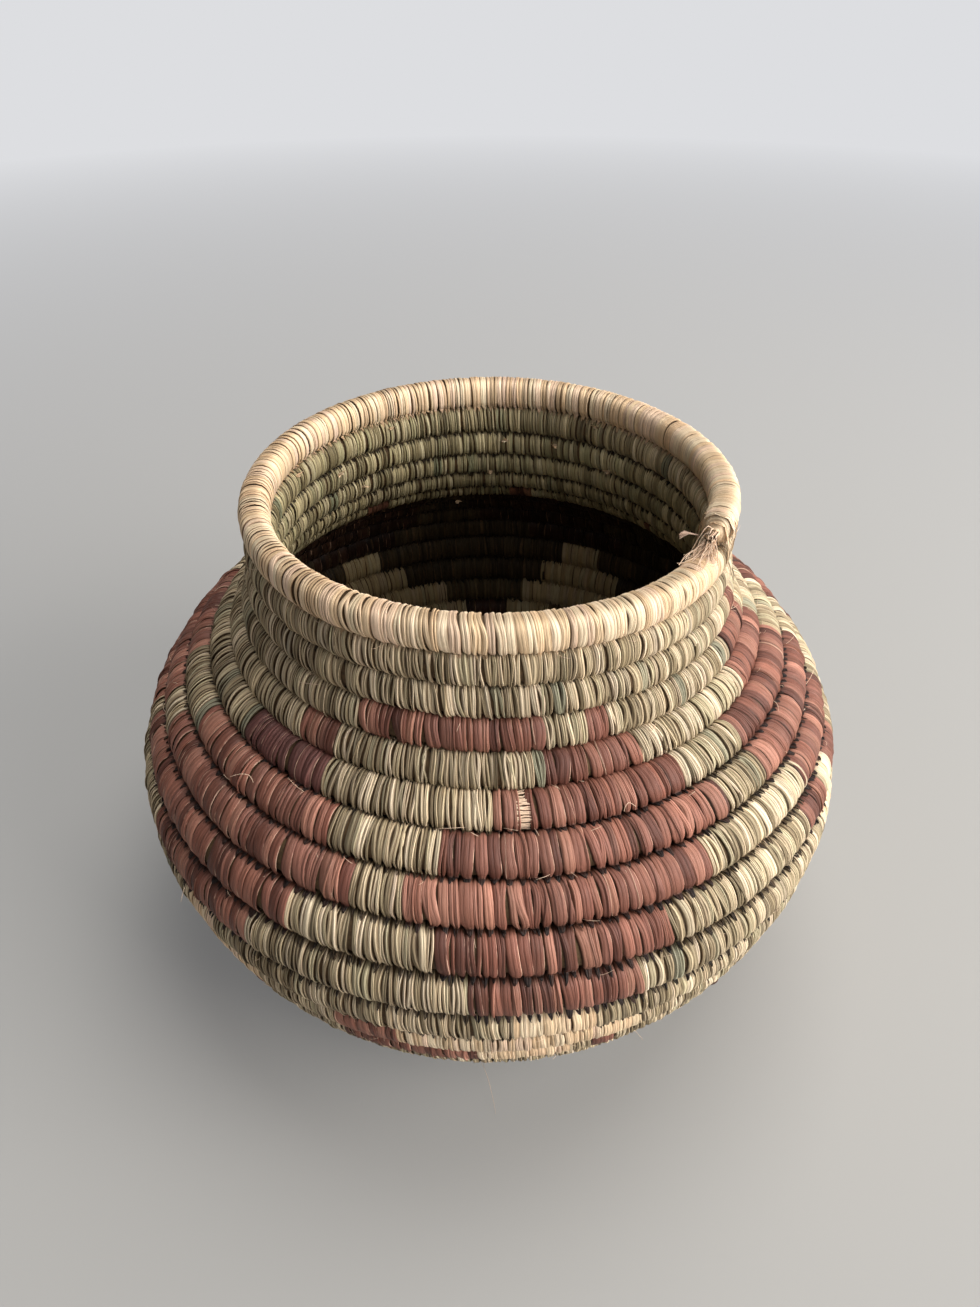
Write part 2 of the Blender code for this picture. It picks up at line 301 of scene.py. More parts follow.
def leaf_noise(tree, ways, fineness, detail, roughness):
    """Noise by the ways across and along a leaf and from stitch to stitch."""
    where = add(tree, "ShaderNodeCombineXYZ", {
        i: product(tree, way, fine) for i, (way, fine) in enumerate(zip(ways, fineness))})
    return add(tree, "ShaderNodeTexNoise", {
        "Vector": where.outputs[0], "Scale": 1.0, "Detail": detail,
        "Roughness": roughness}).outputs[0]


class Leaf(NamedTuple):
    """How one kind of leaf looks. The amounts of shade are the most that each takes away; those of
    the folds, the gaps and the vessel's inside are painted shade, that of the creases soil and
    painted shade.
    """
    ridges: float  # folds in half a strip's width
    ridge_depth: float
    # edge_colour: dark on straw and olive, partly dust and partly painted shade; pale on rust
    edge_colour: tuple
    edge_share: float  # the width of the coloured edge
    painted_fold_shade: float
    roughness: float
    fibre_shade: float
    crease_soil_and_painted_shade: float  # soil and painted shade where the strip goes down into the next round
    painted_gap_shade: float  # painted shade towards the next strip
    gap_share: float
    painted_inner_shade: float = 0.30  # painted shade on the vessel's inside, where the attribute can pass 1
    one_sided: bool = False  # the coloured edge on one side and the painted gap shade on the other


# How the noise shows in all leaves: gains and offsets
FIBRES = (2.4, -0.7)
BLOTCHES = (0.6, 0.7)
GAP_PATCHES = (1.6, 0.1)
EDGE_PATCHES = {False: (3.2, -0.8), True: (7.0, -3.3)}  # by one_sided
INNER_TINT = (0.84, 0.90, 0.80, 1)


def leaf_material(name, leaf):
    """A dry leaf strip. Its own colour comes with each strip; nodes add fibres, folds and wear."""
    made, tree, shader = nodes_of(name)
    uv = add(tree, "ShaderNodeUVMap", uv_map="Leaf").outputs[0]
    split = add(tree, "ShaderNodeSeparateXYZ", {0: uv})
    across, along = split.outputs[0], split.outputs[1]
    own, seed = attribute(tree, "leaf", "Color"), attribute(tree, "stitch")
    # inside marks the vessel's inside, where painted shade goes; deep marks where a strip dips into
    # the next round
    side, deep, inside = (attribute(tree, key) for key in ("side", "deep", "inside"))
    fine = leaf_noise(tree, (across, along, seed), (8.5, 0.12, 37.0), 4.0, 0.65)
    broad = leaf_noise(tree, (across, along, seed), (0.9, 0.20, 91.0), 3.0, 0.6)
    blotches = scaled(tree, broad, *BLOTCHES)
    wander = scaled(tree, broad, 1.6, product(tree, seed, 20.0))
    wave = math_node(tree, "SINE", scaled(tree, side, leaf.ridges * math.pi, wander))
    ridge = math_node(tree, "POWER", math_node(tree, "ABSOLUTE", wave), 0.6)
    # how bright it is: fibres and blotches, painted shade in the folds and on the vessel's inside,
    # and soil and painted shade where it dips into the next round
    lines = scaled(tree, fine, *FIBRES, clamp=True)
    shade = scaled(tree, lines, leaf.fibre_shade, 1 - leaf.fibre_shade * 0.5)
    shade = product(tree, shade, blotches)
    shade = product(tree, shade, scaled(tree, ridge, leaf.painted_fold_shade, 1 - leaf.painted_fold_shade))
    shade = dimmed(tree, shade, inside, leaf.painted_inner_shade, clamp=True)
    shade = dimmed(tree, shade, product(tree, deep, blotches), leaf.crease_soil_and_painted_shade)
    # painted shade towards the next strip, weaker on the vessel's inside
    inner = product(tree, inside, 2.5, clamp=True)
    edge = math_node(tree, "ABSOLUTE", side)
    gap = product(tree, side, -1.0) if leaf.one_sided else edge
    steep = 2 / leaf.gap_share
    gap = scaled(tree, gap, steep, 1.4 - steep, clamp=True)
    gap = product(tree, gap, scaled(tree, broad, *GAP_PATCHES), clamp=True)
    gap = dimmed(tree, gap, inner, 0.6)
    shade = dimmed(tree, shade, gap, leaf.painted_gap_shade)
    # what is dark is warm too, painted shade included, and the strips on the vessel's inside are
    # tinted greener
    warm = add(tree, "ShaderNodeCombineXYZ", {
        0: shade, 1: math_node(tree, "POWER", shade, 1.12),
        2: math_node(tree, "POWER", shade, 1.26)})
    own = mix_colour(tree, inner, own, mix_colour(tree, 1.0, own, INNER_TINT, "MULTIPLY"))
    colour = mix_colour(tree, 1.0, own, warm.outputs[0], "MULTIPLY")
    # the edge's colour, in patches: pale on rust; dark on straw and olive, partly dust and partly
    # painted shade
    steep = 1.6 / leaf.edge_share
    mask = scaled(tree, side if leaf.one_sided else edge, steep, 1 - steep + 0.3, clamp=True)
    mask = product(tree, mask, scaled(tree, broad, *EDGE_PATCHES[leaf.one_sided], clamp=True))
    mask = dimmed(tree, mask, deep, 0.9)
    colour = mix_colour(tree, mask, colour, (*leaf.edge_colour, 1))
    tree.links.new(colour, shader.inputs["Base Color"])
    rough = scaled(tree, fine, 0.25, leaf.roughness - 0.12)
    tree.links.new(rough, shader.inputs["Roughness"])
    shader.inputs["Specular IOR Level"].default_value = 0.35
    height = scaled(tree, ridge, leaf.ridge_depth, product(tree, fine, 0.4))
    bump = add(tree, "ShaderNodeBump", {"Strength": 0.9, "Distance": 0.00035, "Height": height})
    tree.links.new(bump.outputs[0], shader.inputs["Normal"])
    return made


LEAF_MATERIALS = [
    leaf_material("straw_leaf", Leaf(
        ridges=1.6, ridge_depth=0.34, edge_colour=srgb(136, 98, 68), edge_share=0.09,
        painted_fold_shade=0.20, roughness=0.58, fibre_shade=0.42, crease_soil_and_painted_shade=0.42,
        painted_gap_shade=0.66, gap_share=0.46, painted_inner_shade=0.14)),
    leaf_material("olive_leaf", Leaf(
        ridges=1.1, ridge_depth=0.70, edge_colour=srgb(62, 46, 30), edge_share=0.14,
        painted_fold_shade=0.30, roughness=0.60, fibre_shade=0.66, crease_soil_and_painted_shade=0.90,
        painted_gap_shade=0.82, gap_share=0.58)),
    leaf_material("rust_leaf", Leaf(
        ridges=1.4, ridge_depth=0.44, edge_colour=srgb(212, 172, 148), edge_share=0.17,
        painted_fold_shade=0.26, roughness=0.52, fibre_shade=0.70, crease_soil_and_painted_shade=0.92,
        painted_gap_shade=0.93, gap_share=0.55, one_sided=True)),
]
# Which of those a strip has, by its colour
MATERIAL_OF = {"straw": 0, "pink": 0, "olive": 1, "rust": 2, "maroon": 2, "pale": 2}
COLOURS = {
    "straw": ((244, 216, 180), (239, 209, 171), (247, 224, 191), (231, 199, 161), (243, 213, 184)),
    "pink": ((232, 196, 170), (238, 206, 182)),
    "olive": ((202, 182, 149), (214, 194, 161), (187, 169, 137), (224, 204, 172), (170, 152, 122),
              (198, 184, 151), (155, 138, 109), (234, 214, 184)),
    "blue": ((176, 168, 140), (158, 154, 130)),
    "pale": ((204, 166, 144), (186, 148, 126)),
    "rust": ((143, 94, 78), (124, 78, 64), (163, 113, 95), (98, 60, 49), (138, 92, 78)),
    "maroon": ((106, 67, 61), (94, 59, 54)),
}
# How much a stitch, and each of its strips, differs from its colour
STITCH_TONE = 0.07
STRIP_TONES = {"straw": 0.04, "pink": 0.04, "olive": 0.15}
BRIGHTEST = 0.95
BLUE_CHANCE, OWN_PICK_CHANCE = 0.016, 0.5

# A stitch's width and its spread, its strips' crown, lean and, as one strip, share of the width
WIDTHS = {"straw": (0.00192, 0.26), "olive": (0.00238, 0.28), "rust": (0.00250, 0.36),
          "maroon": (0.00244, 0.24)}
CROWNS = {"straw": 0.00038, "olive": 0.00046, "rust": 0.00052, "maroon": 0.00052, "pale": 0.0003}
LEANS = {"straw": 0.05, "olive": 0.19, "rust": 0.14, "maroon": 0.12}
ONE_STRIP_SHARES = {"straw": 1.22, "rust": 1.08, "maroon": 1.08}

# Stitches grow wider from the neck to the belly and are narrower in the base
NECK_ROUND, WIDE_ROUND, BASE_ROUND = 2, 9, 19
BELLY_WIDENING = 0.12
BASE_WIDTH_SHARE = 0.9

# Where two stitches stand apart: here and there, and once so that the bundle shows
APART_CHANCE, STRAW_APART_CHANCE = 0.10, 0.22
APART = (0.0002, 0.0005)
BARE_TURN = 5.845
BARE_WIDTH = 0.0019


class Stitch(NamedTuple):
    """One stitch of the wrap, and its round counted from the rim."""
    turn: float
    width: float
    colour: str
    number: int


def walk():
    """Every stitch from the tail to the start."""
    made = []
    turn = 0.0
    while turn < LAST_TURN:
        number = min(int(turn) + 1, len(NODES))
        colour = colour_at(number, math.degrees(TAIL_AZIMUTH) + 360 * turn)
        length = around(turn)
        width, spread = WIDTHS[colour]
        if NECK_ROUND < number <= BASE_ROUND and colour != "straw":
            grown = (number - NECK_ROUND) / (WIDE_ROUND - NECK_ROUND)
            width *= 1 + BELLY_WIDENING * min(1, grown)
        if number >= BASE_ROUND:
            width *= BASE_WIDTH_SHARE
        width *= 1 + spread * float(rng.uniform(-1, 1))
        size = width / length
        made.append(Stitch(turn + size / 2, width, colour, number))
        if turn < BARE_TURN <= turn + size:
            turn += BARE_WIDTH / length
        turn += size
        if rng.random() < (STRAW_APART_CHANCE if colour == "straw" else APART_CHANCE):
            turn += float(rng.uniform(*APART)) / length
    return made


class Strand(NamedTuple):
    """One strip of a stitch. Its offset, share and lean are in widths of the stitch."""
    turn: float
    width: float
    colour: str
    stitch: int
    offset: float
    share: float
    raised: float
    section: str
    lean: float


# How a lean carries on from stitch to stitch, and the chances of each make of a stitch
LEAN_KEPT, LEAN_OWN_SHARE = 0.86, 0.7
THREE_STRIPS_CHANCE, TOP_CHANCE, PALE_CHANCE, CROSSING_CHANCE = 0.7, 0.4, 0.4, 0.09
TWO_STRIPS_CHANCES = {"straw": 0.65, "rust": 0.35, "maroon": 0.35}
TWO_STRIPS_OVERLAP = 1.22


def strands_of(stitches):
    """The strips of each stitch: a folded olive leaf shows two or three edges, the others fewer."""
    made = []

    def lay(i, offset, share, raised, section, lean, colour=None):
        stitch = stitches[i]
        made.append(Strand(stitch.turn, stitch.width, colour or stitch.colour, i,
                           offset, share, raised, section, lean))

    drift = 0.0
    for i, stitch in enumerate(stitches):
        colour = stitch.colour
        drift = LEAN_KEPT * drift + rng.normal(0, LEANS[colour])
        lean = drift + rng.normal(0, LEANS[colour] * LEAN_OWN_SHARE)
        if colour == "olive":
            count = 3 if rng.random() < THREE_STRIPS_CHANCE else 2
            for k in range(count):
                offset = (k - (count - 1) / 2) / count + rng.normal(0, 0.05)
                share = rng.uniform(0.90, 1.45) / count
                raised = rng.uniform(-1, 1) * 0.00020
                lay(i, offset, share, raised, "narrow", lean + rng.normal(0, 0.10))
        elif rng.random() < TWO_STRIPS_CHANCES[colour]:
            cut = rng.uniform(0.40, 0.60)
            for offset, share in ((cut / 2 - 0.5, cut), (cut / 2, 1 - cut)):
                raised = rng.uniform(-1, 1) * 0.00014
                lay(i, offset, share * TWO_STRIPS_OVERLAP, raised, "narrow",
                    lean + rng.normal(0, 0.08))
        else:
            lay(i, 0.0, ONE_STRIP_SHARES[colour], rng.normal(0, 0.00007), "wide", lean)
            if colour != "straw" and rng.random() < TOP_CHANCE:
                # a narrow strip on top, of its own colour or pale
                top = "pale" if rng.random() < PALE_CHANCE else colour
                offset = rng.uniform(-0.4, 0.4)
                share = rng.uniform(0.10, 0.16) if top == "pale" else rng.uniform(0.18, 0.34)
                raised = rng.uniform(0.0001, 0.0003)
                lay(i, offset, share, raised, "narrow", lean + rng.normal(0, 0.15), top)
        if colour != "straw" and rng.random() < CROSSING_CHANCE:
            offset, share = rng.uniform(-0.3, 0.3), rng.uniform(0.22, 0.38)
            raised = rng.uniform(0.0003, 0.0005)
            lean += rng.choice((-1, 1)) * rng.uniform(0.5, 1.0)
            lay(i, offset, share, raised, "narrow", lean)
    return made


# A strip's tip past the coil, as rows of: along and out in half thicknesses, width and crown
TIP = np.array([
    (1.30, 0.70, 0.05, 0.0),
    (1.22, 0.74, 0.20, 0.4),
    (1.12, 0.66, 0.42, 0.8),
    (1.02, 0.52, 0.58, 0.9),
])


def arch():
    """A stitch's way round the coil: along and out in half thicknesses, width and crown shares.

    It runs from the tip outside the vessel, over the coil's top, to the tip inside.
    """
    # close together outside the vessel, wider apart inside
    theta = np.radians(np.concatenate((np.linspace(64, -100, 16), np.linspace(-124, -244, 7))))
    degrees = np.degrees(theta)
    along, out = rounded(np.cos(theta), np.sin(theta))
    from_side = 90 - np.abs(degrees + 90)
    tip_pinch = 0.20 * smooth(degrees, 30, 64) + 0.20 * smooth(-degrees, 200, 244)
    width = 1 - tip_pinch - 0.10 * smooth(from_side, 30, 90)
    crown = 1 - 0.35 * smooth(from_side, 40, 90)
    middle = np.stack((along, out, width, crown), 1)
    return np.concatenate((TIP, middle, TIP[::-1] * (1, -1, 1, 1))).T


# Places across a strip, as shares of half its width
ACROSS = {
    "narrow": np.array((-1.0, -0.6, 0.0, 0.6, 1.0)),
    "wide": np.array((-1.0, -0.86, -0.45, 0.0, 0.45, 0.86, 1.0)),
}
ADVANCE = 0.9  # how far a stitch goes on along the coil in one wrap, in its widths
OVERLAP = 1.03
LEAN_MIDDLE = 0.1
EDGE_POWER = 3.0
WRAP_INSET = 0.00058
FLOOR_GAP = 0.00005

# The share of a baking cell that a strip fills
CELL_ACROSS, CELL_ALONG = 0.46, 0.98

# How much painted shade lies on the vessel's inside, as steps over the turns: size, start, end. It
# is darkest from the seventh round to the twelfth and lighter again towards the base
PAINTED_INNER_SHADE_STEPS = ((0.4, 0.9, 1.5), (0.4, 3.7, 4.6), (2.2, 5.55, 6.15), (-0.35, 11.6, 12.4),
                (-1.3, 13.5, 16.0))


def quads(nq, nx, n):
    """The faces of n grids of nq by nx points, and how many each has."""
    qi, xi = np.meshgrid(np.arange(nq - 1), np.arange(nx - 1), indexing="ij")
    first = (qi * nx + xi).ravel()
    quad = np.stack((first, first + 1, first + nx + 1, first + nx), 1)
    return (np.arange(n)[:, None, None] * nq * nx + quad[None]).reshape(-1, 4), len(quad)


def at_corners(values, shape, faces):
    """Values on a grid of points, as a mesh's corners have them."""
    return np.broadcast_to(values, shape).ravel()[faces]


def crown_profile(x):
    """The height across a strip, as a share of its crown."""
    return np.sqrt(np.clip(1 - np.abs(x) ** EDGE_POWER, 0, 1))


def strip_grid(strands, across):
    """Points, faces, maps and attributes of strips with one kind of section."""
    along, out, width_share, crown_share = arch()
    nq, nx, n = len(along), len(across), len(strands)
    shape = (n, nq, nx)
    turn, width, offset, share, raised, lean = (
        np.array([getattr(s, key) for s in strands])[:, None, None]
        for key in ("turn", "width", "offset", "share", "raised", "lean"))
    crown = np.array([CROWNS[s.colour] for s in strands])[:, None, None]
    x = across[None, None, :]
    q = np.linspace(0.5, -0.5, nq)[None, :, None]
    radius, _, _, _, half = place(turn)
    bend = rng.normal(0, 0.10, (n, 1, 1)) * np.sin(2 * np.pi * q)
    bend = bend + rng.normal(0, 0.07, (n, 1, 1)) * np.sin(5 * np.pi * q)
    tips = (np.abs(along) > 1.05)[None, :, None]
    tip_length = 1 + rng.normal(0.01, 0.09, (n, 1, 1)) * tips
    tilt = rng.normal(0.75, 0.45, (n, 1, 1)) * x * crown * 0.5
    pinch = rng.uniform(0.2, 2.2, (n, 1, 1))
    past_coil = (np.abs(along) > 1.01)[None, :, None]
    narrowed = (1 - width_share[None, :, None]) * np.where(past_coil, 1, pinch)
    w = np.clip(1 - narrowed, 0.05, 1)
    t = turn + (
        (offset * w + x * share * w / 2) * width * OVERLAP
        + (q * ADVANCE + (q - LEAN_MIDDLE) * lean + bend) * width
    ) / (2 * np.pi * radius)
    lift = (crown * crown_profile(x) + raised + tilt) * crown_share[None, :, None]
    closing = narrowing(np.clip(t, 0, 1) * 2 * np.pi * radius)
    a = along[None, :, None] * (half + ROUND_GAP / 2) * tip_length * closing
    o = out[None, :, None] * ((half - WRAP_INSET) * closing)
    # the way out of the section's surface; past the coil it is straight outwards
    norm_a = np.sign(along) * np.abs(along) ** (SECTION_POWER - 1)
    norm_o = np.sign(out) * np.abs(out) ** (SECTION_POWER - 1)
    norm_a = np.where(np.abs(along) > 1, 0, norm_a)
    size = np.hypot(norm_a, norm_o) + 1e-9
    norm_a, norm_o = (norm_a / size)[None, :, None], (norm_o / size)[None, :, None]
    points = in_space(t, a + lift * norm_a, o + lift * norm_o)
    points[..., 2] = np.maximum(points[..., 2], FLOOR_GAP)
    faces, per_strip_faces = quads(nq, nx, n)
    step = np.concatenate(((0,), np.cumsum(np.hypot(np.diff(along), np.diff(out)))))
    leaf_uv = (at_corners(x * width * share * 500, shape, faces),
               at_corners(step[None, :, None] * half * 1000, shape, faces))
    # towards the tips, where the strips go down into the creases: soil and painted shade lie there
    deep = np.clip((np.abs(along) - 0.80) / 0.22, 0, 1) ** 1.3
    # the painted shade of the vessel's inside, on the inner side of each strip only
    inside = sum(size * smooth(turn, start, end) for size, start, end in PAINTED_INNER_SHADE_STEPS)
    inside = smooth(-out, -0.35, 0.35)[None, :, None] * inside
    return {
        "points": points.reshape(-1, 3),
        "faces": faces,
        "leaf_uv": np.stack(leaf_uv, -1).reshape(-1, 2),
        "cell": (at_corners(x * CELL_ACROSS, shape, faces),
                 at_corners(0.5 - q * CELL_ALONG, shape, faces)),
        "side": np.tile(across, n * nq),
        "deep": np.repeat(np.tile(deep, n), nx),
        "inside": (inside * np.ones((1, 1, nx))).ravel(),
        "strips": n,
        "per_strip_faces": per_strip_faces,
    }


class Ribbon(NamedTuple):
    """A strip on a path of its own, and the way across it, for all of it or for each point."""
    path: list
    way: np.ndarray
    widths: tuple
    crown: float
    colour: str
    # inside: whether it lies on the vessel's inside and takes the painted shade there
    inside: bool = False



def along_path(at, lengths, values):
    """Points or ways at some lengths of a path."""
    return np.stack([np.interp(at, lengths, values[:, i]) for i in range(3)], 1)


def ribbon_grid(ribbons):
    """Points, faces, maps and attributes of ribbons, as strip_grid gives them for strips."""
    across = ACROSS["narrow"]
    nq, nx, n = 12, len(across), len(ribbons)
    shape = (n, nq, nx)
    points, u, v = [], [], []
    x = across[None, :]
    for ribbon in ribbons:
        path = np.array(ribbon.path, float)
        lengths = np.concatenate(((0,), np.cumsum(np.linalg.norm(np.diff(path, axis=0), axis=1))))
        at = np.linspace(0, lengths[-1], nq)
        line = along_path(at, lengths, path)
        way = np.broadcast_to(np.array(ribbon.way, float), (len(path), 3))
        side = along_path(at, lengths, way)
        side /= np.linalg.norm(side, axis=1, keepdims=True)
        normal = np.cross(np.gradient(line, axis=0), side)
        normal /= np.linalg.norm(normal, axis=1, keepdims=True) + 1e-12
        places = np.linspace(0, lengths[-1], len(ribbon.widths))
        half = np.interp(at, places, ribbon.widths)[:, None] / 2
        lift = ribbon.crown * crown_profile(x)
        grid = line[:, None] + side[:, None] * (x * half)[..., None]
        grid = grid + normal[:, None] * lift[..., None]
        grid[..., 2] = np.maximum(grid[..., 2], 0.0)
        points.append(grid)
        u.append(x * half * 1000)
        v.append(np.broadcast_to(at[:, None] * 1000, (nq, nx)))
    faces, per_strip_faces = quads(nq, nx, n)
    q = np.linspace(0.49, -0.49, nq)[None, :, None]
    leaf_uv = (np.array(u).ravel()[faces], np.array(v).ravel()[faces])
    return {
        "points": np.array(points).reshape(-1, 3),
        "faces": faces,
        "leaf_uv": np.stack(leaf_uv, -1).reshape(-1, 2),
        "cell": (at_corners(across * CELL_ACROSS, shape, faces), at_corners(0.5 - q, shape, faces)),
        "side": np.tile(across, n * nq),
        "deep": np.zeros(n * nq * nx),
        "inside": np.repeat([float(r.inside) for r in ribbons], nq * nx),
        "strips": n,
        "per_strip_faces": per_strip_faces,
    }


def linked(name, data):
    """A new object in the scene."""
    made = bpy.data.objects.new(name, data)
    bpy.context.scene.collection.objects.link(made)
    return made


def quad_object(name, vertices, faces, kinds, materials):
    """A smooth object of four-sided faces, each with the number of its material."""
    mesh = bpy.data.meshes.new(name)
    mesh.vertices.add(len(vertices))
    mesh.vertices.foreach_set("co", vertices.ravel())
    mesh.loops.add(faces.size)
    mesh.loops.foreach_set("vertex_index", faces.ravel().astype(np.int32))
    mesh.polygons.add(len(faces))
    mesh.polygons.foreach_set("loop_start", np.arange(0, faces.size, 4, dtype=np.int32))
    mesh.polygons.foreach_set("material_index", kinds.astype(np.int32))
    mesh.update(calc_edges=True)
    mesh.shade_smooth()
    for material in materials:
        mesh.materials.append(material)
    return linked(name, mesh)


def add_map(mesh, name, corners):
    mesh.uv_layers.new(name=name).data.foreach_set("uv", corners.ravel())


def own_colours(stitch_colours, strips):
    """A colour for each strip: its stitch's, which differs a little, and some more of its own."""
    tones = [1 + rng.normal(0, STITCH_TONE) for _ in stitch_colours]
    kinds = ["blue" if colour == "olive" and rng.random() < BLUE_CHANCE else colour
             for colour in stitch_colours]
    picks = [rng.integers(100) for _ in stitch_colours]
    own = np.ones((len(strips), 4))
    for i, (colour, stitch) in enumerate(strips):
        kind = "pale" if colour == "pale" else kinds[stitch]
        pick = picks[stitch]
        if kind == "olive" and rng.random() < OWN_PICK_CHANCE:
            pick = rng.integers(100)
        base = np.array(srgb(*COLOURS[kind][pick % len(COLOURS[kind])]))
        tone = tones[stitch] * (1 + rng.normal(0, STRIP_TONES.get(kind, 0.10)))
        own[i, :3] = base * min(tone, BRIGHTEST / base.max()) * (1 + rng.normal(0, 0.008, 3))
    return own


CELLS_WIDE_PER_HIGH = 18  # a strip's baking cell is this many times as high as it is wide


def stitch_object(name, stitches, ribbons=()):
    """All the stitches of one round as one mesh, each strip on its own, with any ribbons."""
    strands = strands_of(stitches)
    groups, strips = [], []
    for section, across in ACROSS.items():
        mine = [s for s in strands if s.section == section]
        if mine:
            groups.append(strip_grid(mine, across))
            strips += [(s.colour, s.stitch) for s in mine]
    if ribbons:
        groups.append(ribbon_grid(ribbons))
        strips += [(r.colour, len(stitches) + i) for i, r in enumerate(ribbons)]
    rows = max(1, round(math.sqrt(len(strips) / CELLS_WIDE_PER_HIGH)))
    columns = math.ceil(len(strips) / rows)
    faces, bake, first_vertex, first_strip = [], [], 0, 0
    for group in groups:
        faces.append(group["faces"] + first_vertex)
        cell_u, cell_v = group["cell"]
        strip = np.repeat(np.arange(group["strips"]), group["per_strip_faces"]) + first_strip
        row, column = np.divmod(strip, columns)
        bake.append(np.stack(((column[:, None] + 0.5 + cell_u) / columns,
                              (row[:, None] + cell_v) / rows), -1).reshape(-1, 2))
        first_vertex += len(group["points"])
        first_strip += group["strips"]

    def joined(key):
        return np.concatenate([g[key] for g in groups])

    counts = [g["strips"] for g in groups]
    per_strip = np.repeat([len(g["points"]) // g["strips"] for g in groups], counts)
    per_strip_faces = np.repeat([g["per_strip_faces"] for g in groups], counts)
    kinds = np.repeat([MATERIAL_OF[colour] for colour, _ in strips], per_strip_faces)
    made = quad_object(name, joined("points"), np.concatenate(faces), kinds, LEAF_MATERIALS)
    own = own_colours([s.colour for s in stitches] + [r.colour for r in ribbons], strips)
    # the masks deep and inside carry soil and painted shade in the creases, and painted shade on
    # the vessel's inside
    for key, kind, values in (
        ("leaf", "FLOAT_COLOR", np.repeat(own, per_strip, 0)),
        ("stitch", "FLOAT", np.repeat(rng.random(len(strips)), per_strip)),
        ("side", "FLOAT", joined("side")),
        ("deep", "FLOAT", joined("deep")),
        ("inside", "FLOAT", joined("inside")),
    ):
        layer = made.data.attributes.new(key, kind, "POINT")
        layer.data.foreach_set("color" if kind == "FLOAT_COLOR" else "value", values.ravel())
    add_map(made.data, "Leaf", joined("leaf_uv"))  # in millimetres along the leaf
    add_map(made.data, "OFBake", np.concatenate(bake))
    return made


# Strip ends that stand out of the wall inside the neck: turn, place along the coil's section
NUBS = ((1.533, -0.7), (2.478, -0.6), (1.422, -0.6), (2.317, -0.6), (3.331, 0.6), (2.272, -0.6),
        (1.233, -0.7), (6.356, 0.0), (2.219, 0.6), (3.45, -0.5), (2.62, -0.7))
NUB_STRIPS = 5


def nub(turn, along):
    """A few strips' ends that come out of the wall at one place."""
    way, out, down = local_frame(turn)
    start = on_section(turn, along, -section_depth(along) * 0.9)
    made = []
    for _ in range(NUB_STRIPS):
        lean = rng.normal(0, 0.45)
        length, drop = rng.uniform(0.0011, 0.0020), rng.uniform(-0.0012, 0.0004)
        tip = start - out * length + down * drop + way * lean * 0.002
        middle = (start + tip) / 2 - out * 0.0003
        made.append(Ribbon([start, middle, tip], way, (0.0013, 0.0015, 0.0008), 0.0002, "straw"))
    return made


stitches = walk()
for index, node in enumerate(NODES):
    number = index + 1
    mine = [s for s in stitches if s.number == number]
    loose = [r for turn, along in NUBS if int(turn) == index for r in nub(turn, along)]
    piece = stitch_object("wrap_" + node[6:], mine, loose)
    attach(piece, "root")
    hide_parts(node)

# The strips that tie the tail down: from inside over the tail to outside, as places on the
# section, and each one's turn, how far it drifts and its width
TIE_PATH = ((2.75, -0.55), (2.2, -1.02), (1.1, -1.02), (0.1, -1.06), (-0.75, -0.86),
            (-1.08, -0.2), (-1.0, 0.5), (-0.55, 0.98), (0.2, 1.08), (1.1, 1.05), (2.0, 1.06),
            (2.8, 0.85), (3.1, 0.62))
TIES = ((0.0042, 0.0035, 0.0015), (0.0080, 0.0030, 0.0017), (0.0125, 0.0042, 0.0013))
TIE_LEAD = 0.3  # the share of its drift before its turn


def tail_ties():
    """The strips that tie the tail down onto the round below, oblique, from inside to outside."""
    made = []
    for start, drift, width in TIES:
        points, ways = [], []
        for i, (along, out) in enumerate(TIE_PATH):
            turn = start + drift * (i / (len(TIE_PATH) - 1) - TIE_LEAD)
            fit = 1.0
            if along < 1:  # on the tail itself, not on the round below
                fit = narrowing(max(turn, 0) * 2 * math.pi * RIM_RADIUS, full=1.04)
            points.append(on_section(turn, along * fit, out * max(fit, 0.62)))
            ways.append(local_frame(turn)[0])
        widths = (0.0006, width, width, width, width * 0.9, 0.0005)
        made.append(Ribbon(points, ways, widths, 0.00018, "straw"))
    return made


END_TURN = 0.0045  # where the last strip's end leaves the tail
END_PARTS = 6


def splayed_end():
    """The last strip's end, split into a fan that stands into the mouth."""
    start = on_section(END_TURN, 0.55, -0.86)
    way, out, down = local_frame(END_TURN)
    made = []
    for k in np.linspace(-1, 1, END_PARTS):
        reach, drop = 0.0052 - 0.0007 * abs(k), 0.0012 + 0.0004 * k
        tip = start - out * reach + way * k * 0.0013 + down * drop
        middle = start - out * 0.0026 + way * k * 0.00025 + down * 0.0002
        widths = (0.0004, 0.0004, 0.0006 + rng.uniform(0, 0.0003))
        made.append(Ribbon([start, middle, tip], way, widths, 0.0001, "pink"))
    return made


# The start knot's strips: as rows of reach, height and lean as shares, and of width
KNOT_STRIPS = 13
KNOT_PATH = ((0.05, 0.93, 0), (0.55, 0.98, 1), (0.95, 0.80, 1), (1.0, 0.45, 0),
             (0.95, 0.15, -1), (0.5, 0.02, -1), (0.05, 0.03, 0))
KNOT_WIDTH_SHARES = (0.3, 0.9, 1.3, 1.35, 1.3, 0.8, 0.3)
KNOT_OVERLAP = 0.00018  # how far they reach into the last round, so that no gap shows


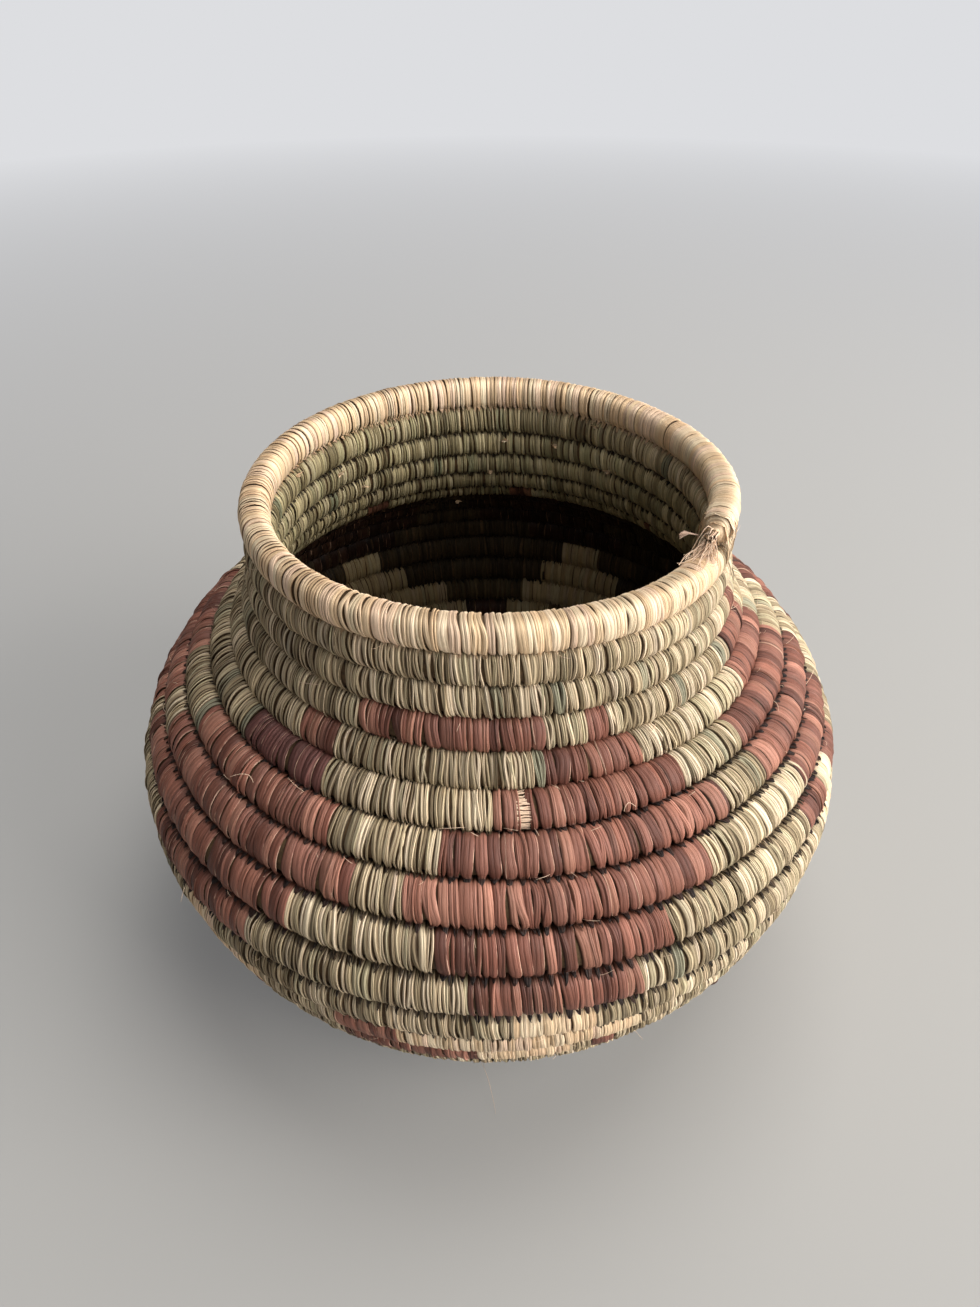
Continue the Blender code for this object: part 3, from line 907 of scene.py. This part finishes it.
def knot_strips():
    """Short strips over the button that the coil starts from, from its top to its foot."""
    made = []
    for k in range(KNOT_STRIPS):
        turn = LAST_TURN - (k + rng.uniform(0.3, 0.7)) / KNOT_STRIPS
        radius, _, _, _, half = place(np.array(turn))
        reach = float(radius - half) + KNOT_OVERLAP
        azimuth = TAIL_AZIMUTH + 2 * math.pi * turn - math.pi / 2
        outwards = np.array((math.cos(azimuth), math.sin(azimuth), 0.0))
        across = np.array((-math.sin(azimuth), math.cos(azimuth), 0.0))
        path = [outwards * r * reach + (0, 0, z * START_COIL) + across * lean * 0.0004
                for r, z, lean in KNOT_PATH]
        widths = [w * 2 * math.pi * reach / KNOT_STRIPS for w in KNOT_WIDTH_SHARES]
        # the knot takes the painted shade of the vessel's inside
        made.append(Ribbon(path, -across, widths, 0.00012, "olive", inside=True))
    return made


for name, node, ribbons in (("tail_stitches", "last_stitch", tail_ties()),
                            ("knot_strips", "start_knot", knot_strips()),
                            ("splayed_strip", "strip_end", splayed_end())):
    piece = stitch_object(name, [], ribbons)
    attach(piece, "root")
    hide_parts(node)


# The shares of the baking map for the first grid and for the others, each in its own cell
FIRST_MAP_SHARE = 0.7
OTHER_MAP_SHARE, OTHER_MAP_START = 0.28, 0.71
OTHER_COLUMNS_PER_ROW = 6


def grids_object(name, grids, materials):
    """One mesh through several grids: each its points, whether rows close, and a material."""
    vertices, faces, maps, kinds, start = [], [], [], [], 0
    others = max(1, len(grids) - 1)
    columns = math.ceil(math.sqrt(others * OTHER_COLUMNS_PER_ROW))
    rows = math.ceil(others / columns)
    for index, (points, closed, kind) in enumerate(grids):
        m, n = points.shape[:2]
        wrap = n if closed else n - 1
        i, j = np.meshgrid(np.arange(m - 1), np.arange(wrap), indexing="ij")
        k = (j + 1) % n
        quad = np.stack((i * n + j, (i + 1) * n + j, (i + 1) * n + k, i * n + k), -1)
        faces.append(quad.reshape(-1, 4) + start)
        u0, v0 = i.ravel() / (m - 1), j.ravel() / wrap
        u1, v1 = (i.ravel() + 1) / (m - 1), (j.ravel() + 1) / wrap
        cell = np.stack((u0, v0, u1, v0, u1, v1, u0, v1), 1).reshape(-1, 2)
        if index == 0:
            maps.append(cell * (1, FIRST_MAP_SHARE if len(grids) > 1 else 1))
        else:
            row, column = divmod(index - 1, columns)
            cell = (cell * 0.9 + 0.05 + (column, row)) / (columns, rows)
            maps.append(cell * (1, OTHER_MAP_SHARE) + (0, OTHER_MAP_START))
        vertices.append(points.reshape(-1, 3))
        kinds.append(np.full((m - 1) * wrap, kind))
        start += m * n
    made = quad_object(name, np.concatenate(vertices), np.concatenate(faces),
                       np.concatenate(kinds), materials)
    add_map(made.data, "OFBake", np.concatenate(maps))
    return made


def tube_grid(path, radii, sides=5):
    """A thin tube along a path of points, with radii spread evenly along it."""
    path = np.array(path, float)
    along = np.gradient(path, axis=0)
    along /= np.linalg.norm(along, axis=1, keepdims=True) + 1e-12
    helper = np.array((0.3, 0.5, 0.8))  # any way that no path runs in
    first = np.cross(along, helper)
    first /= np.linalg.norm(first, axis=1, keepdims=True)
    second = np.cross(along, first)
    theta = np.linspace(0, 2 * np.pi, sides, endpoint=False)[None, :, None]
    radii = np.interp(np.linspace(0, 1, len(path)), np.linspace(0, 1, len(radii)), radii)
    ring = first[:, None] * np.cos(theta) + second[:, None] * np.sin(theta)
    grid = path[:, None] + ring * radii[:, None, None]
    grid[..., 2] = np.maximum(grid[..., 2], 0.0)
    return grid


def stem_material(name, dark, light):
    """Dry grass, mottled between two colours."""
    made, tree, shader = nodes_of(name)
    where = add(tree, "ShaderNodeTexCoord").outputs["Object"]
    noise = add(tree, "ShaderNodeTexNoise",
                {"Vector": where, "Scale": 900.0, "Detail": 3.0}).outputs[0]
    ramp = add(tree, "ShaderNodeValToRGB", {0: noise})
    ramp.color_ramp.elements[0].color = (*dark, 1)
    ramp.color_ramp.elements[1].color = (*light, 1)
    tree.links.new(ramp.outputs[0], shader.inputs["Base Color"])
    shader.inputs["Roughness"].default_value = 0.85
    bump = add(tree, "ShaderNodeBump", {"Strength": 0.6, "Distance": 0.0003, "Height": noise})
    tree.links.new(bump.outputs[0], shader.inputs["Normal"])
    return made


STEM_MATERIALS = (stem_material("grass_stems", srgb(38, 26, 16), srgb(112, 86, 54)),
                  stem_material("loose_fibre", srgb(204, 170, 142), srgb(240, 216, 190)))
STEM, FIBRE = 0, 1  # their numbers


def spline(points, count=9):
    """A smooth line through a few points."""
    points = np.array(points, float)
    padded = np.concatenate((2 * points[:1] - points[1:2], points,
                             2 * points[-1:] - points[-2:-1]))
    made = []
    for value in np.linspace(0, len(points) - 1, count):
        i = min(int(value), len(points) - 2)
        f = value - i
        a, b, c, d = padded[i:i + 4]
        made.append(0.5 * (2 * b + (c - a) * f + (2 * a - 5 * b + 4 * c - d) * f**2
                           + (3 * b - a - 3 * c + d) * f**3))
    return np.array(made)


BUNDLE_STEPS, BUNDLE_SIDES = 96, 20  # in a turn, and round its section


def bundle():
    """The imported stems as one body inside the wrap."""
    turns = np.arange(0.004, LAST_TURN, 1 / BUNDLE_STEPS)[:, None]
    theta = np.linspace(0, 2 * np.pi, BUNDLE_SIDES, endpoint=False)[None]
    along, out = rounded(np.cos(theta), np.sin(theta))
    half = place(turns)[4] - 0.00080
    closing = 1 - 0.84 * (1 - smooth(turns * 2 * np.pi * RIM_RADIUS, 0, 0.0062))
    a = along * (half + 0.00050) * closing
    return in_space(turns + 0 * theta, a, out * half * closing), True, STEM


TUFT_STEMS, TUFT_FIBRES = 46, 42
STEM_RADII, FIBRE_RADII = (0.00030, 0.00028, 0.00020), (0.00014, 0.00012, 0.00007)
DARK_STEM_CHANCE = 0.4


def tuft():
    """Grass stems at the open end of the coil, and the frayed fibres that hang from it."""
    length = 2 * math.pi * RIM_RADIUS
    made = []
    for _ in range(TUFT_STEMS):
        radius = 0.30 * math.sqrt(rng.random())
        angle = rng.uniform(0, 2 * math.pi)
        along, out = radius * math.sin(angle), radius * math.cos(angle)
        # those near the middle stand out furthest
        reach = -rng.uniform(0.0004, 0.0046) if radius < 0.24 else -rng.uniform(-0.001, 0.0028)
        end = (reach / length, 0.9 + rng.normal(0, 0.12))
        points = [on_section(turn, along * share, out * share)
                  for turn, share in ((0.010, 1.0), (0.004, 0.95), end)]
        kind = STEM if rng.random() < DARK_STEM_CHANCE else FIBRE
        made.append((tube_grid(points, STEM_RADII), True, kind))
    for _ in range(TUFT_FIBRES):
        angle = rng.uniform(0, 2 * math.pi)
        along, out = 0.22 * math.sin(angle), 0.22 * math.cos(angle)
        reach = rng.uniform(0.005, 0.0125) / length
        spread = rng.uniform(-1.05, 0.55)
        drop = 1.17 - 0.15 * abs(spread) ** 2 + 0.62 * max(0, abs(spread) - 0.6)
        wave = rng.normal(0, 0.26, 3)
        points = spline([
            on_section(0.003, along, out),
            on_section(-0.2 * reach, along + 0.30 + wave[0], out + 0.3 * spread),
            on_section(-0.6 * reach, drop * 0.93 - 0.1 + wave[1] * 0.4, 0.8 * spread + wave[1]),
            on_section(-reach, drop + rng.uniform(-0.16, 0.0), spread + wave[2]),
        ])
        made.append((tube_grid(points, FIBRE_RADII, 4), True, FIBRE))
    return made


def hair(start, end, bow, radius=0.00007):
    """One stray fibre from a point to another, bowed to a side."""
    start, end, bow = (np.array(v, float) for v in (start, end, bow))
    points = [start, start * 0.62 + end * 0.38 + bow, start * 0.25 + end * 0.75 + bow * 0.7, end]
    return tube_grid(spline(points), (radius, radius, radius * 0.5), 4), True, FIBRE


# Hairs on the floor: start, end, bow
FLOOR_HAIRS = (
    ((-0.0050, -0.0915, 0.0020), (0.0012, -0.1100, 0.0002), (0.0008, 0.0002, 0.0012)),
    ((0.0440, -0.0830, 0.0040), (0.0505, -0.0875, 0.0003), (0.0006, -0.0002, 0.0006)),
)
# Long hairs on the wall: turn, place along the section, length, way to the side
LONG_HAIRS = ((6.72, 0.2, 0.0075, 0.6), (9.70, 0.7, 0.0060, -0.8), (5.90, 0.9, 0.0050, 1.0))
BARE_STEMS, SHORT_HAIRS = 17, 420


def hairs():
    """Stray fibres on the floor, in the gap between two stitches, on the wall and in creases."""
    made = [hair(*ends) for ends in FLOOR_HAIRS]
    bare = BARE_WIDTH / around(BARE_TURN)
    for along in np.linspace(-0.86, 0.95, BARE_STEMS):
        out = section_depth(along) * 0.93
        ends = [on_section(BARE_TURN + bare * share, along + rng.normal(0, 0.03), out)
                for share in (0.1, 1.0, 2.0)]
        made.append((tube_grid(ends, (0.00027, 0.00027)), True, FIBRE))
    for turn, along, length, side in LONG_HAIRS:
        way, out, down = local_frame(turn)
        start = on_section(turn, along, 0.85)
        end = start + out * length * 0.7 + way * length * side
        made.append(hair(start, end, -down * length * 0.3))
    for _ in range(SHORT_HAIRS):
        turn = rng.uniform(1.0, 15.5)
        way, out, down = local_frame(turn)
        start = on_section(turn, rng.choice((0.9, -0.85)), 0.55)
        length = rng.uniform(0.0018, 0.0050)
        lean = rng.normal(0, 0.8)
        end = start + out * length * rng.uniform(0.25, 0.7) + way * length * lean
        end = end + down * rng.uniform(-0.5, 0.6) * length
        made.append(hair(start, end, out * length * 0.15, 0.00006))
    return made


piece = grids_object("grass_bundle", [bundle(), *tuft(), *hairs()], STEM_MATERIALS)
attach(piece, "root")
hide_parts("foundation")

# The room: a pale colour behind all, and how much of it lights the scene
ROOM_COLOUR = srgb(221, 222, 225)
ROOM_LEVEL = 0.14


def pale_ground():
    """Pale matt ground that keeps the basket's shadow and fades into the room's colour far off."""
    made, tree, shader = nodes_of("pale_ground")
    shader.inputs["Base Color"].default_value = (*srgb(150, 148, 144), 1)
    shader.inputs["Roughness"].default_value = 0.85
    where = add(tree, "ShaderNodeTexCoord").outputs["Object"]
    away = add(tree, "ShaderNodeVectorMath", {0: where}, operation="LENGTH").outputs["Value"]
    away = scaled(tree, away, 1 / 1.5, -0.08, clamp=True)
    glow = add(tree, "ShaderNodeEmission", {"Color": (*ROOM_COLOUR, 1), "Strength": 1.0})
    share = scaled(tree, away, 1 - ROOM_LEVEL, ROOM_LEVEL)
    share = product(tree, share, add(tree, "ShaderNodeLightPath").outputs["Is Camera Ray"])
    mixed = add(tree, "ShaderNodeMixShader", {0: share, 1: shader.outputs[0], 2: glow.outputs[0]})
    output = next(n for n in tree.nodes if n.type == "OUTPUT_MATERIAL")
    tree.links.new(mixed.outputs[0], output.inputs["Surface"])
    return made


def ground():
    """A wide floor, level with the underside of the basket."""
    ends = (-8.0, 8.0)
    points = np.array([[(x, y, 0.0) for x in ends] for y in ends])
    grids_object("ground", [(points, False, 0)], (pale_ground(),))


def room():
    """Even light of the room's level, with the full colour where the camera looks past all."""
    world = bpy.data.worlds.new("soft_room")
    bpy.context.scene.world = world
    world.use_nodes = True
    tree = world.node_tree
    background = tree.nodes["Background"]
    background.inputs["Color"].default_value = (*ROOM_COLOUR, 1)
    seen = add(tree, "ShaderNodeLightPath").outputs["Is Camera Ray"]
    tree.links.new(scaled(tree, seen, 1 - ROOM_LEVEL, ROOM_LEVEL), background.inputs["Strength"])


LIGHT_TARGET = (0, 0, 0.08)


def area_light(name, where, size, power, colour):
    data = bpy.data.lights.new(name, "AREA")
    data.size = size
    data.energy = power
    data.color = colour
    lamp = linked(name, data)
    lamp.location = where
    towards = Vector(LIGHT_TARGET) - Vector(where)
    lamp.rotation_euler = towards.to_track_quat("-Z", "Y").to_euler()


# The photograph's camera, as fitted to it. Angles in radians, sizes in metres
PHOTO_WIDTH_PIXELS = 980
FOCAL_PIXELS = 829.66
CAMERA_BACK, CAMERA_OVER_RIM, RIM_FROM_FLOOR = 0.2128, 0.1195, 0.1585
CAMERA_YAW, CAMERA_PITCH, CAMERA_ROLL = -0.0014, 0.7094, -0.0053


def photo_camera():
    data = bpy.data.cameras.new("camera")
    data.sensor_fit = "HORIZONTAL"
    data.sensor_width = 36
    data.lens = FOCAL_PIXELS / PHOTO_WIDTH_PIXELS * data.sensor_width
    data.clip_start = 0.01
    camera = linked("camera", data)
    camera.location = (0, -CAMERA_BACK, CAMERA_OVER_RIM + RIM_FROM_FLOOR)
    camera.rotation_euler = (
        Matrix.Rotation(CAMERA_YAW, 4, "Z")
        @ Matrix.Rotation(math.pi / 2 - CAMERA_PITCH, 4, "X")
        @ Matrix.Rotation(CAMERA_ROLL, 4, "Z")
    ).to_euler()
    return camera


ground()
room()
area_light("window", (1.22, -0.45, 0.66), 1.0, 32, (1.0, 0.97, 0.93))
area_light("ceiling", (0.30, 0.40, 1.35), 1.0, 19, (1.0, 0.99, 0.97))
area_light("fill", (0.20, -1.2, 0.95), 1.2, 5.0, (1.0, 0.98, 0.96))
bpy.context.scene.camera = photo_camera()
bpy.context.scene.view_settings.view_transform = "Standard"
